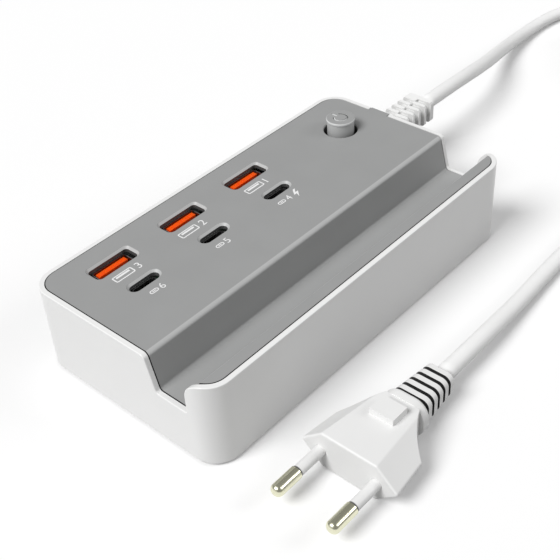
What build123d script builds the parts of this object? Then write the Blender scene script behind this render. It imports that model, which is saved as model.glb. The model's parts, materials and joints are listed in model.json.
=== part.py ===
"""Desktop charger: a white tub with a grey flush cover, two rows of charging ports, a phone slot,
a push button, and a mains lead with a flat two-pin plug. Millimetres, +Z up.

The long side runs along X and the phone slot lies towards -Y. The origin is the middle of the
footprint, on the surface that the rubber feet stand on.
"""

import os
from math import hypot, pi, radians, tan

from build123d import *

# Case
case_length = 140.0
case_width = 74.3
case_height = 30.0
corner_radius = 8.0
wall = 2.6
floor_thickness = 2.2
rim = 1.6
rim_edge_radius = 0.3
base_edge_radius = 0.6
foot_proud = 0.6

# Cover, flush inside the rim
cover_thickness = 2.0
cover_gap = 0.35
deck_depth = 49.6
deck_edge_radius = 1.8
slot_depth = 12.1
slope_run = 3.1
slot_foot_radius = 1.2
lip_thickness = 5.9
lip_edge_radius = 0.8
end_stop_reach = 9.8
end_stop_radius = 6.0
end_foot_radius = 0.6

# Charging ports, standing upright below the deck
first_port_from_end = 22.3
last_port_from_end = 59.7
port_count = 3
wide_port_from_back = 12.3
port_row_spacing = 13.85
wide_cut_length = 15.6
wide_cut_width = 5.8
wide_cut_radius = 1.2
slim_cut_length = 10.8
slim_cut_width = 3.4
port_chamfer = 0.75
shell_height = 11.4
shell_wall = 0.3
shell_below_cover = 0.1
wide_mouth_length = 12.5
wide_mouth_width = 5.12
wide_mouth_radius = 0.6
wide_tongue_length = 11.1
wide_tongue_thickness = 1.84
wide_tongue_side_gap = 0.72
wide_tongue_recess = 2.3
slim_mouth_length = 8.34
slim_mouth_width = 2.56
slim_tongue_length = 6.7
slim_tongue_thickness = 0.7
slim_tongue_recess = 3.0
port_base_height = 2.0
port_base_clearance = 0.05
contact_count = 4
contact_pitch = 2.5
contact_width = 1.0
contact_thickness = 0.25
contact_height = 5.0
contact_drop = 1.4

# Push button and its switch
button_from_end = 18.0
button_from_back = 19.0
button_diameter = 10.0
button_cap_height = 0.8
button_stem_diameter = 9.4
button_proud = 4.6
button_travel = 3.0
button_gap = 0.5
button_clearance = 0.3
button_edge_radius = 0.4
well_diameter = 11.8
well_depth = 4.4
dish_radius = 0.5
guide_wall = 1.6
guide_height = 4.0
button_flange_reach = 1.4
button_flange_height = 1.2
mark_diameter = 5.4
mark_stroke = 0.7
mark_depth = 0.35
mark_gap_angle = 70.0
mark_bar_length = 2.4
switch_side = 9.0
switch_height = 9.5
plunger_side = 3.2
plunger_grip = 4.5
plunger_in_switch = 5.0

# Boards, screws and feet
board_thickness = 1.6
board_edge_clearance = 1.0
standoff_height = 2.4
standoff_diameter = 6.0
post_diameter = 7.0
boss_diameter = 8.6
boss_height = 6.2
boss_board_clearance = 0.5
post_from_end = 8.5
back_post_from_back = 8.7
front_post_from_front = 15.2
screw_diameter = 3.0
screw_clearance = 0.05
screw_head_diameter = 5.6
screw_head_height = 2.0
screw_head_cover = 0.6
screw_head_room = 0.3
screw_length = 12.0
foot_diameter = 10.0
foot_thickness = 1.4
foot_clearance = 0.2
foot_edge_radius = 0.3
board_screw_diameter = 2.5
board_screw_head = 4.6
board_screw_head_height = 1.6
board_screw_length = 3.8
front_standoff_x = 44.0
back_standoff_from_back = 16.6
port_board_margin = 2.0
port_post_diameter = 5.0
port_screw_length = 6.0

# Parts on the main board
part_gap = 1.4
deck_headroom = 1.5
slope_headroom = 4.0
transformer_length = 16.0
transformer_width = 19.0
winding_inset = 2.6
bobbin_height = 10.0
bulk_diameter = 12.0
can_edge_radius = 0.6
choke_length = 12.0
choke_width = 11.0
choke_height = 12.0
choke_bore = 5.0
filter_capacitor_size = (15.0, 5.6, 11.0)
surge_disc_diameter = 8.0
surge_disc_thickness = 3.4
isolation_disc_thickness = 2.6
isolation_disc_diameter = 7.0
rectifier_size = (3.6, 13.0, 10.0)
fuse_from_end = 9.6
fuse_diameter = 6.0
fuse_height = 8.0
output_cap_diameter = 9.0
output_cap_height = 14.0
output_cap_count = 3
spreader_length = 24.0
spreader_height = 15.0
spreader_thickness = 2.0
output_rectifier_size = (10.0, 4.4, 14.0)
inductor_side = 9.0
inductor_height = 5.0
controller_side = 7.0
controller_height = 1.2
header_size = (9.0, 3.0)
wire_diameter = 2.2
wire_spacing = 2.6
wire_bend = 2.5
wire_reach = 2.9

# Cord entry
cord_diameter = 5.5
bend_share = 0.45
boot_from_back = 22.75
boot_length = 25.0
boot_width = 11.3
boot_height = 8.4
boot_corner_radius = 1.4
boot_axis_height = 20.2
boot_neck_width = 8.4
boot_neck_drop = 3.8
boot_flange_reach = 2.0
boot_flange_thickness = 2.4
boot_fit = 0.1
boot_slot_width = 2.5
boot_slot_pitch = 3.6
boot_slot_count = 6
boot_core_width = 7.6
boot_core_height = 6.4
boot_end_plate = 2.0

# Plug, lying on the floor in front of the case
plug_face_x = -50.0
plug_axis_y = -66.0
plug_width = 33.0
plug_height = 13.2
plug_edge_radius = 1.0
plug_face_radius = 0.6
plug_top_width = 18.4
plug_body_length = 24.0
plug_wing_length = 11.6
plug_neck_width = 11.4
plug_wing_taper = 0.4
plug_neck_hollow = 1.3
plug_back_tip_width = 28.0
plug_back_top_width = 13.4
plug_back_height = 11.2
collar_length = 3.2
collar_width = 14.4
collar_height = 12.0
collar_radius = 5.0
collar_edge_radius = 1.2
relief_length = 15.0
relief_start_width = 11.8
relief_start_height = 9.2
relief_end_width = 9.4
relief_end_height = 7.8
relief_gap = 1.15
relief_gap_count = 5
relief_radius = 2.4
relief_core_width = 6.2
relief_core_height = 6.0
relief_core_radius = 2.8
grip_length = 6.4
grip_width = 8.0
grip_proud = 1.5
grip_from_collar = 3.4
pin_spacing = 18.6
pin_diameter = 4.0
pin_length = 19.0
pin_bare_length = 9.0
pin_tip_radius = 1.5
pin_root_depth = 12.0
pin_core_diameter = 2.6
sleeve_diameter = 3.4
sleeve_root_depth = 3.0
pin_fit = 0.05

# Put-away coil of the cord, on the floor
coil_centre_x = 219.3
coil_centre_y = -38.0
coil_outer_radius = 39.2
coil_inner_radius = 24.8
coil_turns = 5.25
coil_corner_radius = 2.7
coil_layers = 2
tie_thickness = 0.8
tie_width = 6.0
tie_clearance = 0.5

os.makedirs("parts", exist_ok=True)

# Edges and levels that several pieces share
half_length = case_length / 2
half_width = case_width / 2
base_z = foot_proud
floor_z = base_z + floor_thickness
deck_under_z = case_height - cover_thickness
slot_floor_z = case_height - slot_depth
slot_under_z = slot_floor_z - cover_thickness
deck_edge_y = half_width - deck_depth
slope_foot_y = deck_edge_y - slope_run
slope_offset_y = cover_thickness * hypot(slope_run, slot_depth) / slot_depth
slope_shift_y = slope_run * cover_thickness / slot_depth
lip_inner_y = lip_thickness - half_width
end_stop_y = end_stop_reach - half_width
cover_inset = rim + cover_gap

port_pitch = (case_length - first_port_from_end - last_port_from_end) / (port_count - 1)
port_xs = [first_port_from_end - half_length + n * port_pitch for n in range(port_count)]
wide_port_y = half_width - wide_port_from_back
slim_port_y = wide_port_y - port_row_spacing
mouth_z = deck_under_z - shell_below_cover
port_board_top = mouth_z - shell_height

button_x = half_length - button_from_end
button_y = half_width - button_from_back
guide_bottom_z = deck_under_z - guide_height

board_z = floor_z + standoff_height
board_top = board_z + board_thickness
boss_top = floor_z + boss_height
foot_recess = foot_thickness - foot_proud
screw_seat_z = base_z + foot_recess + screw_head_cover + screw_head_height
post_spots = [
    (side * (half_length - post_from_end), y)
    for side in (-1, 1)
    for y in (half_width - back_post_from_back, front_post_from_front - half_width)
]
standoff_spots = [(side * front_standoff_x, front_post_from_front - half_width) for side in (-1, 1)]
standoff_spots += [
    (side * (half_length - post_from_end), half_width - back_standoff_from_back) for side in (-1, 1)
]
port_post_spots = [
    ((left + right) / 2, y)
    for left, right in zip(port_xs, port_xs[1:])
    for y in (wide_port_y, slim_port_y)
]
port_board_left = port_xs[0] - wide_cut_length / 2 - port_board_margin
port_board_right = port_xs[-1] + wide_cut_length / 2 + port_board_margin
port_board_front = slim_port_y - slim_cut_width / 2 - port_board_margin
port_board_back = wide_port_y + wide_cut_width / 2 + port_board_margin

boot_y = half_width - boot_from_back
notch_z = boot_axis_height - boot_neck_drop
boot_end_x = half_length + boot_length
plug_axis_z = plug_height / 2


def save(piece, name):
    """Label a finished piece and write it as its own file."""
    piece.part.label = name
    export_step(piece.part, f"parts/{name}.step")


def on_outside(edge):
    """True for an edge on the block's outer wall, above the slot floor, that doesn't reach the base."""
    spot = edge.center()
    past_x = max(abs(spot.X) - half_length + corner_radius, 0)
    past_y = max(abs(spot.Y) - half_width + corner_radius, 0)
    on_wall = hypot(past_x, past_y) > corner_radius - rim
    return on_wall and edge.bounding_box().min.Z > slot_floor_z - slot_foot_radius


# Housing: a rounded block, cut to the slot's end profile, then hollowed
with BuildPart() as cover_seat:
    # Room for the cover inside the rim: everything above the cover's underside
    with BuildSketch(Plane.YZ.offset(-half_length)):
        with BuildLine():
            Polyline(
                (half_width, case_height + wall),
                (half_width, deck_under_z),
                (deck_edge_y - slope_shift_y + slope_offset_y, deck_under_z),
                (slope_foot_y - slope_shift_y + slope_offset_y, slot_under_z),
                (lip_inner_y - cover_thickness, slot_under_z),
                (lip_inner_y - cover_thickness, deck_under_z),
                (-half_width, deck_under_z),
                (-half_width, case_height + wall),
                close=True,
            )
        make_face()
    extrude(amount=case_length)
    with BuildSketch(Plane.XY):
        RectangleRounded(case_length - 2 * rim, case_width - 2 * rim, corner_radius - rim)
    extrude(amount=case_height + wall, mode=Mode.INTERSECT)

with BuildPart() as housing:
    with BuildSketch(Plane.XY.offset(base_z)):
        RectangleRounded(case_length, case_width, corner_radius)
    extrude(amount=case_height - base_z)
    fillet(housing.edges().group_by(Axis.Z)[0], base_edge_radius)
    # The slot runs out through both end walls and stops short of the front corners
    with BuildSketch(Plane.YZ.offset(-half_length)):
        with BuildLine():
            FilletPolyline(
                (deck_edge_y + wall + deck_edge_radius, case_height + wall),
                (deck_edge_y + wall + deck_edge_radius, case_height),
                (deck_edge_y, case_height),
                (slope_foot_y, slot_floor_z),
                (end_stop_y, slot_floor_z),
                (end_stop_y, case_height),
                (end_stop_y - wall - end_stop_radius, case_height),
                (end_stop_y - wall - end_stop_radius, case_height + wall),
                radius=[0, 0, deck_edge_radius, slot_foot_radius, end_foot_radius, end_stop_radius, 0, 0],
                close=True,
            )
        make_face()
    extrude(amount=case_length, mode=Mode.SUBTRACT)
    fillet(housing.edges().filter_by(on_outside), rim_edge_radius)
    # Cavity, ledge for the cover and notch for the cord boot
    with BuildSketch(Plane.XY.offset(floor_z)):
        RectangleRounded(case_length - 2 * wall, case_width - 2 * wall, corner_radius - wall)
    extrude(amount=case_height, mode=Mode.SUBTRACT)
    add(cover_seat.part, mode=Mode.SUBTRACT)
    with BuildSketch(Plane.YZ.offset(half_length - 2 * wall)):
        with Locations((boot_y, notch_z)):
            Rectangle(boot_neck_width, case_height, align=(Align.CENTER, Align.MIN))
    extrude(amount=3 * wall, mode=Mode.SUBTRACT)
    # Standoffs for the main board and bosses for the case screws
    with BuildSketch(Plane.XY.offset(floor_z)):
        with Locations(standoff_spots):
            Circle(standoff_diameter / 2)
    extrude(amount=standoff_height)
    with BuildSketch(Plane.XY.offset(floor_z)):
        with Locations(post_spots):
            Circle(boss_diameter / 2)
    extrude(amount=boss_height)
    with Locations([(x, y, board_z) for x, y in standoff_spots]):
        Hole(board_screw_diameter / 2 + screw_clearance, depth=standoff_height + floor_thickness / 2)
    # Each case screw's head sits deep in its boss, and a foot closes the hole from below
    with BuildSketch(Plane.XY.offset(base_z)):
        with Locations(post_spots):
            Circle(foot_diameter / 2 + foot_clearance)
    extrude(amount=foot_recess, mode=Mode.SUBTRACT)
    with BuildSketch(Plane.XY.offset(base_z)):
        with Locations(post_spots):
            Circle(screw_head_diameter / 2 + screw_head_room)
    extrude(amount=screw_seat_z - base_z, mode=Mode.SUBTRACT)
    with BuildSketch(Plane.XY.offset(base_z)):
        with Locations(post_spots):
            Circle(screw_diameter / 2 + screw_clearance)
    extrude(amount=boss_top - base_z, mode=Mode.SUBTRACT)
save(housing, "housing")

# Cover: one bent section along X, trimmed to the outline inside the rim
with BuildPart() as top_cover:
    with BuildSketch(Plane.YZ.offset(-half_length)):
        with BuildLine():
            FilletPolyline(
                (half_width, case_height),
                (deck_edge_y, case_height),
                (slope_foot_y, slot_floor_z),
                (lip_inner_y, slot_floor_z),
                (lip_inner_y, case_height),
                (-half_width, case_height),
                (-half_width, deck_under_z),
                (lip_inner_y - cover_thickness, deck_under_z),
                (lip_inner_y - cover_thickness, slot_under_z),
                (slope_foot_y - slope_shift_y + slope_offset_y, slot_under_z),
                (deck_edge_y - slope_shift_y + slope_offset_y, deck_under_z),
                (half_width, deck_under_z),
                radius=[0, deck_edge_radius, slot_foot_radius, slot_foot_radius, lip_edge_radius]
                + [0] * 7,
                close=True,
            )
        make_face()
    extrude(amount=case_length)
    with BuildSketch(Plane.XY):
        RectangleRounded(
            case_length - 2 * cover_inset, case_width - 2 * cover_inset, corner_radius - cover_inset
        )
    extrude(amount=case_height, mode=Mode.INTERSECT)
    # Tab that closes the cord notch
    with BuildSketch(Plane.XY.offset(deck_under_z)):
        with Locations((half_length, boot_y)):
            Rectangle(
                cover_inset + wall, boot_neck_width - 2 * cover_gap, align=(Align.MAX, Align.CENTER)
            )
    extrude(amount=cover_thickness)
    # Guide for the button, and posts for the case and for the port board
    with BuildSketch(Plane.XY.offset(guide_bottom_z)):
        with Locations((button_x, button_y)):
            Circle(well_diameter / 2 + guide_wall)
    extrude(amount=guide_height)
    with BuildSketch(Plane.XY.offset(guide_bottom_z)):
        with Locations((button_x, button_y)):
            Circle(button_stem_diameter / 2 + button_gap)
    extrude(amount=guide_height, mode=Mode.SUBTRACT)
    with BuildSketch(Plane.XY.offset(case_height)):
        with Locations((button_x, button_y)):
            Circle(well_diameter / 2)
    extrude(amount=-well_depth, mode=Mode.SUBTRACT)
    fillet(top_cover.edges(Select.LAST).group_by(Axis.Z)[-1], dish_radius)
    for x, y in post_spots:
        post_top = deck_under_z if y > deck_edge_y else slot_under_z
        with BuildSketch(Plane.XY.offset(boss_top)):
            with Locations((x, y)):
                Circle(post_diameter / 2)
        extrude(amount=post_top - boss_top)
    with BuildSketch(Plane.XY.offset(boss_top)):
        with Locations(post_spots):
            Circle(screw_diameter / 2 + screw_clearance)
    extrude(amount=screw_seat_z + screw_length - boss_top, mode=Mode.SUBTRACT)
    with BuildSketch(Plane.XY.offset(port_board_top)):
        with Locations(port_post_spots):
            Circle(port_post_diameter / 2)
    extrude(amount=deck_under_z - port_board_top)
    with BuildSketch(Plane.XY.offset(port_board_top)):
        with Locations(port_post_spots):
            Circle(board_screw_diameter / 2 + screw_clearance)
    extrude(amount=port_screw_length - board_thickness, mode=Mode.SUBTRACT)
    # Port openings, each with a bevelled edge
    with BuildSketch(Plane.XY.offset(case_height)):
        with Locations([(x, wide_port_y) for x in port_xs]):
            RectangleRounded(wide_cut_length, wide_cut_width, wide_cut_radius)
        with Locations([(x, slim_port_y) for x in port_xs]):
            SlotOverall(slim_cut_length, slim_cut_width)
    extrude(amount=-cover_thickness, mode=Mode.SUBTRACT)
    chamfer(top_cover.edges(Select.LAST).group_by(Axis.Z)[-1], port_chamfer)
save(top_cover, "top_cover")

# Push button with an engraved power mark, standing on the switch's plunger
button_top_z = case_height + button_proud
flange_top_z = guide_bottom_z - button_clearance
flange_bottom_z = flange_top_z - button_flange_height
plunger_top_z = flange_bottom_z + plunger_grip
with BuildPart() as power_button:
    with BuildSketch(Plane.XY.offset(flange_bottom_z)):
        with Locations((button_x, button_y)):
            Circle(button_stem_diameter / 2 + button_flange_reach)
    extrude(amount=button_flange_height)
    with BuildSketch(Plane.XY.offset(flange_bottom_z)):
        with Locations((button_x, button_y)):
            Circle(button_stem_diameter / 2)
    extrude(amount=button_top_z - flange_bottom_z)
    with BuildSketch(Plane.XY.offset(button_top_z)):
        with Locations((button_x, button_y)):
            Circle(button_diameter / 2)
    extrude(amount=-button_cap_height)
    fillet(power_button.edges().group_by(Axis.Z)[-1], button_edge_radius)
    with BuildSketch(Plane((button_x, button_y, button_top_z))):
        Circle(mark_diameter / 2)
        Circle(mark_diameter / 2 - mark_stroke, mode=Mode.SUBTRACT)
        with BuildLine():
            Polyline(
                (0, 0),
                (mark_diameter * tan(radians(mark_gap_angle / 2)), mark_diameter),
                (-mark_diameter * tan(radians(mark_gap_angle / 2)), mark_diameter),
                close=True,
            )
        make_face(mode=Mode.SUBTRACT)
        with Locations((0, mark_diameter / 2)):
            Rectangle(mark_stroke, mark_bar_length)
    extrude(amount=-mark_depth, mode=Mode.SUBTRACT)
    with BuildSketch(Plane.XY.offset(flange_bottom_z)):
        with Locations((button_x, button_y)):
            Rectangle(plunger_side, plunger_side)
    extrude(amount=plunger_grip, mode=Mode.SUBTRACT)
save(power_button, "power_button")

switch_top_z = board_top + switch_height
with BuildPart() as switch_plunger:
    with BuildSketch(Plane.XY.offset(switch_top_z - plunger_in_switch)):
        with Locations((button_x, button_y)):
            Rectangle(plunger_side, plunger_side)
    extrude(amount=plunger_top_z - switch_top_z + plunger_in_switch)
save(switch_plunger, "switch_plunger")

with BuildPart() as switch_body:
    with BuildSketch(Plane.XY.offset(board_top)):
        with Locations((button_x, button_y)):
            Rectangle(switch_side, switch_side)
    extrude(amount=switch_height)
    with BuildSketch(Plane.XY.offset(switch_top_z)):
        with Locations((button_x, button_y)):
            Rectangle(plunger_side + 2 * button_clearance, plunger_side + 2 * button_clearance)
    extrude(amount=-(plunger_in_switch + button_travel + button_clearance), mode=Mode.SUBTRACT)
save(switch_body, "switch_body")

# Charging ports
for number, port_x in enumerate(port_xs, start=1):
    with BuildPart() as wide_shell:
        with BuildSketch(Plane.XY.offset(port_board_top)):
            with Locations((port_x, wide_port_y)):
                RectangleRounded(
                    wide_mouth_length + 2 * shell_wall,
                    wide_mouth_width + 2 * shell_wall,
                    wide_mouth_radius + shell_wall,
                )
                RectangleRounded(
                    wide_mouth_length, wide_mouth_width, wide_mouth_radius, mode=Mode.SUBTRACT
                )
        extrude(amount=shell_height)
    save(wide_shell, f"wide_port_shell_{number}")

    tongue_back_y = wide_port_y + wide_mouth_width / 2 - wide_tongue_side_gap
    tongue_front_y = tongue_back_y - wide_tongue_thickness
    wide_tongue_top = case_height - wide_tongue_recess
    with BuildPart() as wide_tongue:
        with BuildSketch(Plane.XY.offset(port_board_top)):
            with Locations((port_x, wide_port_y)):
                RectangleRounded(
                    wide_mouth_length - 2 * port_base_clearance,
                    wide_mouth_width - 2 * port_base_clearance,
                    wide_mouth_radius - port_base_clearance,
                )
        extrude(amount=port_base_height)
        with BuildSketch(Plane.XY.offset(port_board_top)):
            with Locations((port_x, tongue_front_y)):
                Rectangle(
                    wide_tongue_length, wide_tongue_thickness, align=(Align.CENTER, Align.MIN)
                )
        extrude(amount=wide_tongue_top - port_board_top)
    save(wide_tongue, f"wide_port_tongue_{number}")

    with BuildPart() as wide_contacts:
        with BuildSketch(Plane.XZ.offset(-tongue_front_y)):
            with Locations((port_x, wide_tongue_top - contact_drop - contact_height / 2)):
                with GridLocations(contact_pitch, 0, contact_count, 1):
                    Rectangle(contact_width, contact_height)
        extrude(amount=contact_thickness)
    save(wide_contacts, f"wide_port_contacts_{number}")

    with BuildPart() as slim_shell:
        with BuildSketch(Plane.XY.offset(port_board_top)):
            with Locations((port_x, slim_port_y)):
                SlotOverall(slim_mouth_length + 2 * shell_wall, slim_mouth_width + 2 * shell_wall)
                SlotOverall(slim_mouth_length, slim_mouth_width, mode=Mode.SUBTRACT)
        extrude(amount=shell_height)
    save(slim_shell, f"slim_port_shell_{number}")

    with BuildPart() as slim_tongue:
        with BuildSketch(Plane.XY.offset(port_board_top)):
            with Locations((port_x, slim_port_y)):
                SlotOverall(
                    slim_mouth_length - 2 * port_base_clearance,
                    slim_mouth_width - 2 * port_base_clearance,
                )
        extrude(amount=port_base_height)
        with BuildSketch(Plane.XY.offset(port_board_top)):
            with Locations((port_x, slim_port_y)):
                Rectangle(slim_tongue_length, slim_tongue_thickness)
        extrude(amount=case_height - slim_tongue_recess - port_board_top)
    save(slim_tongue, f"slim_port_tongue_{number}")

# Circuit boards
with BuildPart() as main_board:
    with BuildSketch(Plane.XY.offset(board_z)):
        RectangleRounded(
            case_length - 2 * (wall + board_edge_clearance),
            case_width - 2 * (wall + board_edge_clearance),
            corner_radius - wall,
        )
        with Locations(post_spots):
            Circle(boss_diameter / 2 + boss_board_clearance, mode=Mode.SUBTRACT)
        with Locations(standoff_spots):
            Circle(board_screw_diameter / 2 + screw_clearance, mode=Mode.SUBTRACT)
    extrude(amount=board_thickness)
save(main_board, "main_board")

port_board_bottom = port_board_top - board_thickness
with BuildPart() as port_board:
    with BuildSketch(Plane.XY.offset(port_board_bottom)):
        with Locations((port_board_left, port_board_front)):
            Rectangle(
                port_board_right - port_board_left,
                port_board_back - port_board_front,
                align=(Align.MIN, Align.MIN),
            )
        with Locations(port_post_spots):
            Circle(board_screw_diameter / 2 + screw_clearance, mode=Mode.SUBTRACT)
    extrude(amount=board_thickness)
save(port_board, "port_board")


def block_on_board(name, left, front, size):
    """A boxed component standing on the main board, given by its left and front faces."""
    with BuildPart() as block:
        with Locations((left, front, board_top)):
            Box(*size, align=(Align.MIN, Align.MIN, Align.MIN))
    save(block, name)


def can_on_board(name, x, y, diameter, height):
    """A round component standing on the main board, with a rounded top edge."""
    with BuildPart() as can:
        with BuildSketch(Plane.XY.offset(board_top)):
            with Locations((x, y)):
                Circle(diameter / 2)
        extrude(amount=height)
        fillet(can.edges().group_by(Axis.Z)[-1], can_edge_radius)
    save(can, name)


def disc_on_board(name, left, front, diameter, thickness):
    """A disc component standing on edge on a short foot, facing along Y."""
    with BuildPart() as disc:
        with BuildSketch(Plane.XZ.offset(-front)):
            with Locations((left + diameter / 2, board_top + diameter / 2)):
                Circle(diameter / 2)
                with Locations((0, -diameter / 2)):
                    Rectangle(diameter / 2, diameter / 4, align=(Align.CENTER, Align.MIN))
        extrude(amount=-thickness)
    save(disc, name)


# Components, laid out from the port board's right edge towards the cord
tall_height = deck_under_z - deck_headroom - board_top
tall_left = port_board_right + part_gap
tall_front = deck_edge_y + slope_headroom
transformer_back = tall_front + transformer_width
block_left = tall_left + transformer_length + part_gap
bulk_back = tall_front + bulk_diameter
mains_row_y = transformer_back + choke_width + 2 * part_gap

with BuildPart() as transformer_core:
    with Locations((tall_left, tall_front, board_top)):
        Box(transformer_length, transformer_width, tall_height, align=(Align.MIN, Align.MIN, Align.MIN))
    # The winding fills the window between the outer legs
    with BuildSketch(Plane.XZ.offset(-tall_front)):
        with Locations((tall_left + transformer_length / 2, board_top + tall_height / 2)):
            Rectangle(transformer_length - 2 * winding_inset, bobbin_height)
    extrude(amount=-transformer_width, mode=Mode.SUBTRACT)
save(transformer_core, "transformer_core")

with BuildPart() as transformer_winding:
    with BuildSketch(Plane.XZ.offset(-tall_front)):
        with Locations((tall_left + transformer_length / 2, board_top + tall_height / 2)):
            Rectangle(transformer_length - 2 * winding_inset, bobbin_height)
    extrude(amount=-transformer_width)
save(transformer_winding, "transformer_winding")

for number in (1, 2):
    bulk_x = block_left + bulk_diameter / 2 + (number - 1) * (bulk_diameter + part_gap / 2)
    bulk_y = tall_front + bulk_diameter / 2
    can_on_board(f"bulk_capacitor_{number}", bulk_x, bulk_y, bulk_diameter, tall_height)

with BuildPart() as filter_choke:
    with Locations((tall_left, transformer_back + part_gap, board_top)):
        Box(choke_length, choke_width, choke_height, align=(Align.MIN, Align.MIN, Align.MIN))
    with BuildSketch(Plane.XZ.offset(-transformer_back - part_gap)):
        with Locations((tall_left + choke_length / 2, board_top + choke_height / 2)):
            Circle(choke_bore / 2)
    extrude(amount=-choke_width, mode=Mode.SUBTRACT)
save(filter_choke, "filter_choke")

block_on_board("filter_capacitor", tall_left, mains_row_y, filter_capacitor_size)
surge_left = tall_left + filter_capacitor_size[0] + part_gap
disc_on_board("surge_disc", surge_left, mains_row_y, surge_disc_diameter, surge_disc_thickness)
block_on_board("bridge_rectifier", block_left, bulk_back + part_gap, rectifier_size)
fuse_x = half_length - fuse_from_end
fuse_y = bulk_back + part_gap + fuse_diameter / 2
can_on_board("mains_fuse", fuse_x, fuse_y, fuse_diameter, fuse_height)

# Output side, along the front of the deck, from the transformer towards the far end
isolation_left = tall_left - part_gap - isolation_disc_diameter
disc_on_board(
    "isolation_capacitor", isolation_left, tall_front, isolation_disc_diameter, isolation_disc_thickness
)
output_pitch = output_cap_diameter + part_gap
for number in range(1, output_cap_count + 1):
    output_x = isolation_left + output_cap_diameter / 2 - number * output_pitch
    output_y = tall_front + output_cap_diameter / 2
    can_on_board(
        f"output_capacitor_{number}", output_x, output_y, output_cap_diameter, output_cap_height
    )
spreader_left = isolation_left - output_cap_count * output_pitch - part_gap - spreader_length
block_on_board(
    "heat_spreader", spreader_left, tall_front, (spreader_length, spreader_thickness, spreader_height)
)
block_on_board(
    "output_rectifier",
    spreader_left + (spreader_length - output_rectifier_size[0]) / 2,
    tall_front + spreader_thickness,
    output_rectifier_size,
)

# Below the port board: one inductor for each pair of ports, the controller and the header
under_port_y = (wide_port_y + slim_port_y) / 2
for number, port_x in enumerate(port_xs, start=1):
    block_on_board(
        f"port_inductor_{number}",
        port_x - inductor_side / 2,
        under_port_y - inductor_side / 2,
        (inductor_side, inductor_side, inductor_height),
    )
block_on_board(
    "charge_controller",
    port_post_spots[0][0] - controller_side / 2,
    under_port_y - controller_side / 2,
    (controller_side, controller_side, controller_height),
)
block_on_board(
    "board_header",
    port_post_spots[-1][0] - header_size[0] / 2,
    under_port_y - header_size[1] / 2,
    (*header_size, port_board_bottom - board_top),
)

# Screws and feet
with BuildPart() as case_screws:
    with BuildSketch(Plane.XY.offset(screw_seat_z - screw_head_height)):
        with Locations(post_spots):
            Circle(screw_head_diameter / 2)
    extrude(amount=screw_head_height)
    with BuildSketch(Plane.XY.offset(screw_seat_z)):
        with Locations(post_spots):
            Circle(screw_diameter / 2)
    extrude(amount=screw_length)
save(case_screws, "case_screws")

with BuildPart() as board_screws:
    with BuildSketch(Plane.XY.offset(board_top)):
        with Locations(standoff_spots):
            Circle(board_screw_head / 2)
    extrude(amount=board_screw_head_height)
    with BuildSketch(Plane.XY.offset(board_top)):
        with Locations(standoff_spots):
            Circle(board_screw_diameter / 2)
    extrude(amount=-board_screw_length)
save(board_screws, "board_screws")

with BuildPart() as port_board_screws:
    with BuildSketch(Plane.XY.offset(port_board_bottom)):
        with Locations(port_post_spots):
            Circle(board_screw_head / 2)
    extrude(amount=-board_screw_head_height)
    with BuildSketch(Plane.XY.offset(port_board_bottom)):
        with Locations(port_post_spots):
            Circle(board_screw_diameter / 2)
    extrude(amount=port_screw_length)
save(port_board_screws, "port_board_screws")

with BuildPart() as rubber_feet:
    with BuildSketch(Plane.XY):
        with Locations(post_spots):
            Circle(foot_diameter / 2)
    extrude(amount=foot_thickness)
    fillet(rubber_feet.edges().group_by(Axis.Z)[0], foot_edge_radius)
save(rubber_feet, "rubber_feet")

# Cord boot: a grommet neck in the notch, a flange inside, and a ladder of ribs outside
with BuildPart() as cord_boot:
    with BuildSketch(Plane.YZ.offset(half_length - wall)):
        with Locations((boot_y, notch_z + boot_fit)):
            Rectangle(
                boot_neck_width - 2 * boot_fit,
                deck_under_z - notch_z - 2 * boot_fit,
                align=(Align.CENTER, Align.MIN),
            )
    extrude(amount=wall + boot_fit)
    with BuildSketch(Plane.YZ.offset(half_length - wall - boot_fit)):
        with Locations((boot_y, notch_z - boot_flange_reach)):
            Rectangle(
                boot_neck_width + 2 * boot_flange_reach,
                deck_under_z - notch_z + boot_flange_reach - boot_fit,
                align=(Align.CENTER, Align.MIN),
            )
    extrude(amount=-boot_flange_thickness)
    with BuildSketch(Plane.YZ.offset(half_length - wall - boot_fit)):
        with Locations((boot_y, boot_axis_height)):
            Rectangle(boot_core_width, boot_core_height)
    extrude(amount=boot_fit)
    with BuildSketch(Plane.YZ.offset(half_length + boot_fit)):
        with Locations((boot_y, boot_axis_height)):
            RectangleRounded(boot_width, boot_height, boot_corner_radius)
    extrude(amount=boot_length - boot_fit)
    # Slots open to one side and over half of the top and bottom, staggered left and right
    for side in (-1, 1):
        first_slot_x = boot_end_x - boot_end_plate - boot_slot_width
        if side > 0:
            first_slot_x -= boot_slot_pitch / 2
        for number in range(boot_slot_count):
            with BuildSketch(Plane.YZ.offset(first_slot_x - number * boot_slot_pitch)):
                with Locations((boot_y, boot_axis_height)):
                    align = (Align.MAX if side < 0 else Align.MIN, Align.CENTER)
                    Rectangle(boot_width, 2 * boot_height, align=align)
                    RectangleRounded(
                        boot_core_width, boot_core_height, boot_corner_radius, mode=Mode.SUBTRACT
                    )
            extrude(amount=boot_slot_width, mode=Mode.SUBTRACT)
save(cord_boot, "cord_boot")

# Two mains wires from the boot down to the board
with BuildPart() as mains_wires:
    wire_start_x = half_length - wall - boot_fit - boot_flange_thickness
    for number in (0, 1):
        wire_y = boot_y + (number - 0.5) * wire_spacing
        wire_end_x = wire_start_x - wire_reach - number * wire_spacing
        with BuildLine() as wire_path:
            FilletPolyline(
                (wire_start_x, wire_y, boot_axis_height),
                (wire_end_x, wire_y, boot_axis_height),
                (wire_end_x, wire_y, board_top),
                radius=wire_bend,
            )
        with BuildSketch(Plane(wire_path.line @ 0, z_dir=wire_path.line % 0)):
            Circle(wire_diameter / 2)
        sweep(path=wire_path.line)
save(mains_wires, "mains_wires")

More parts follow.
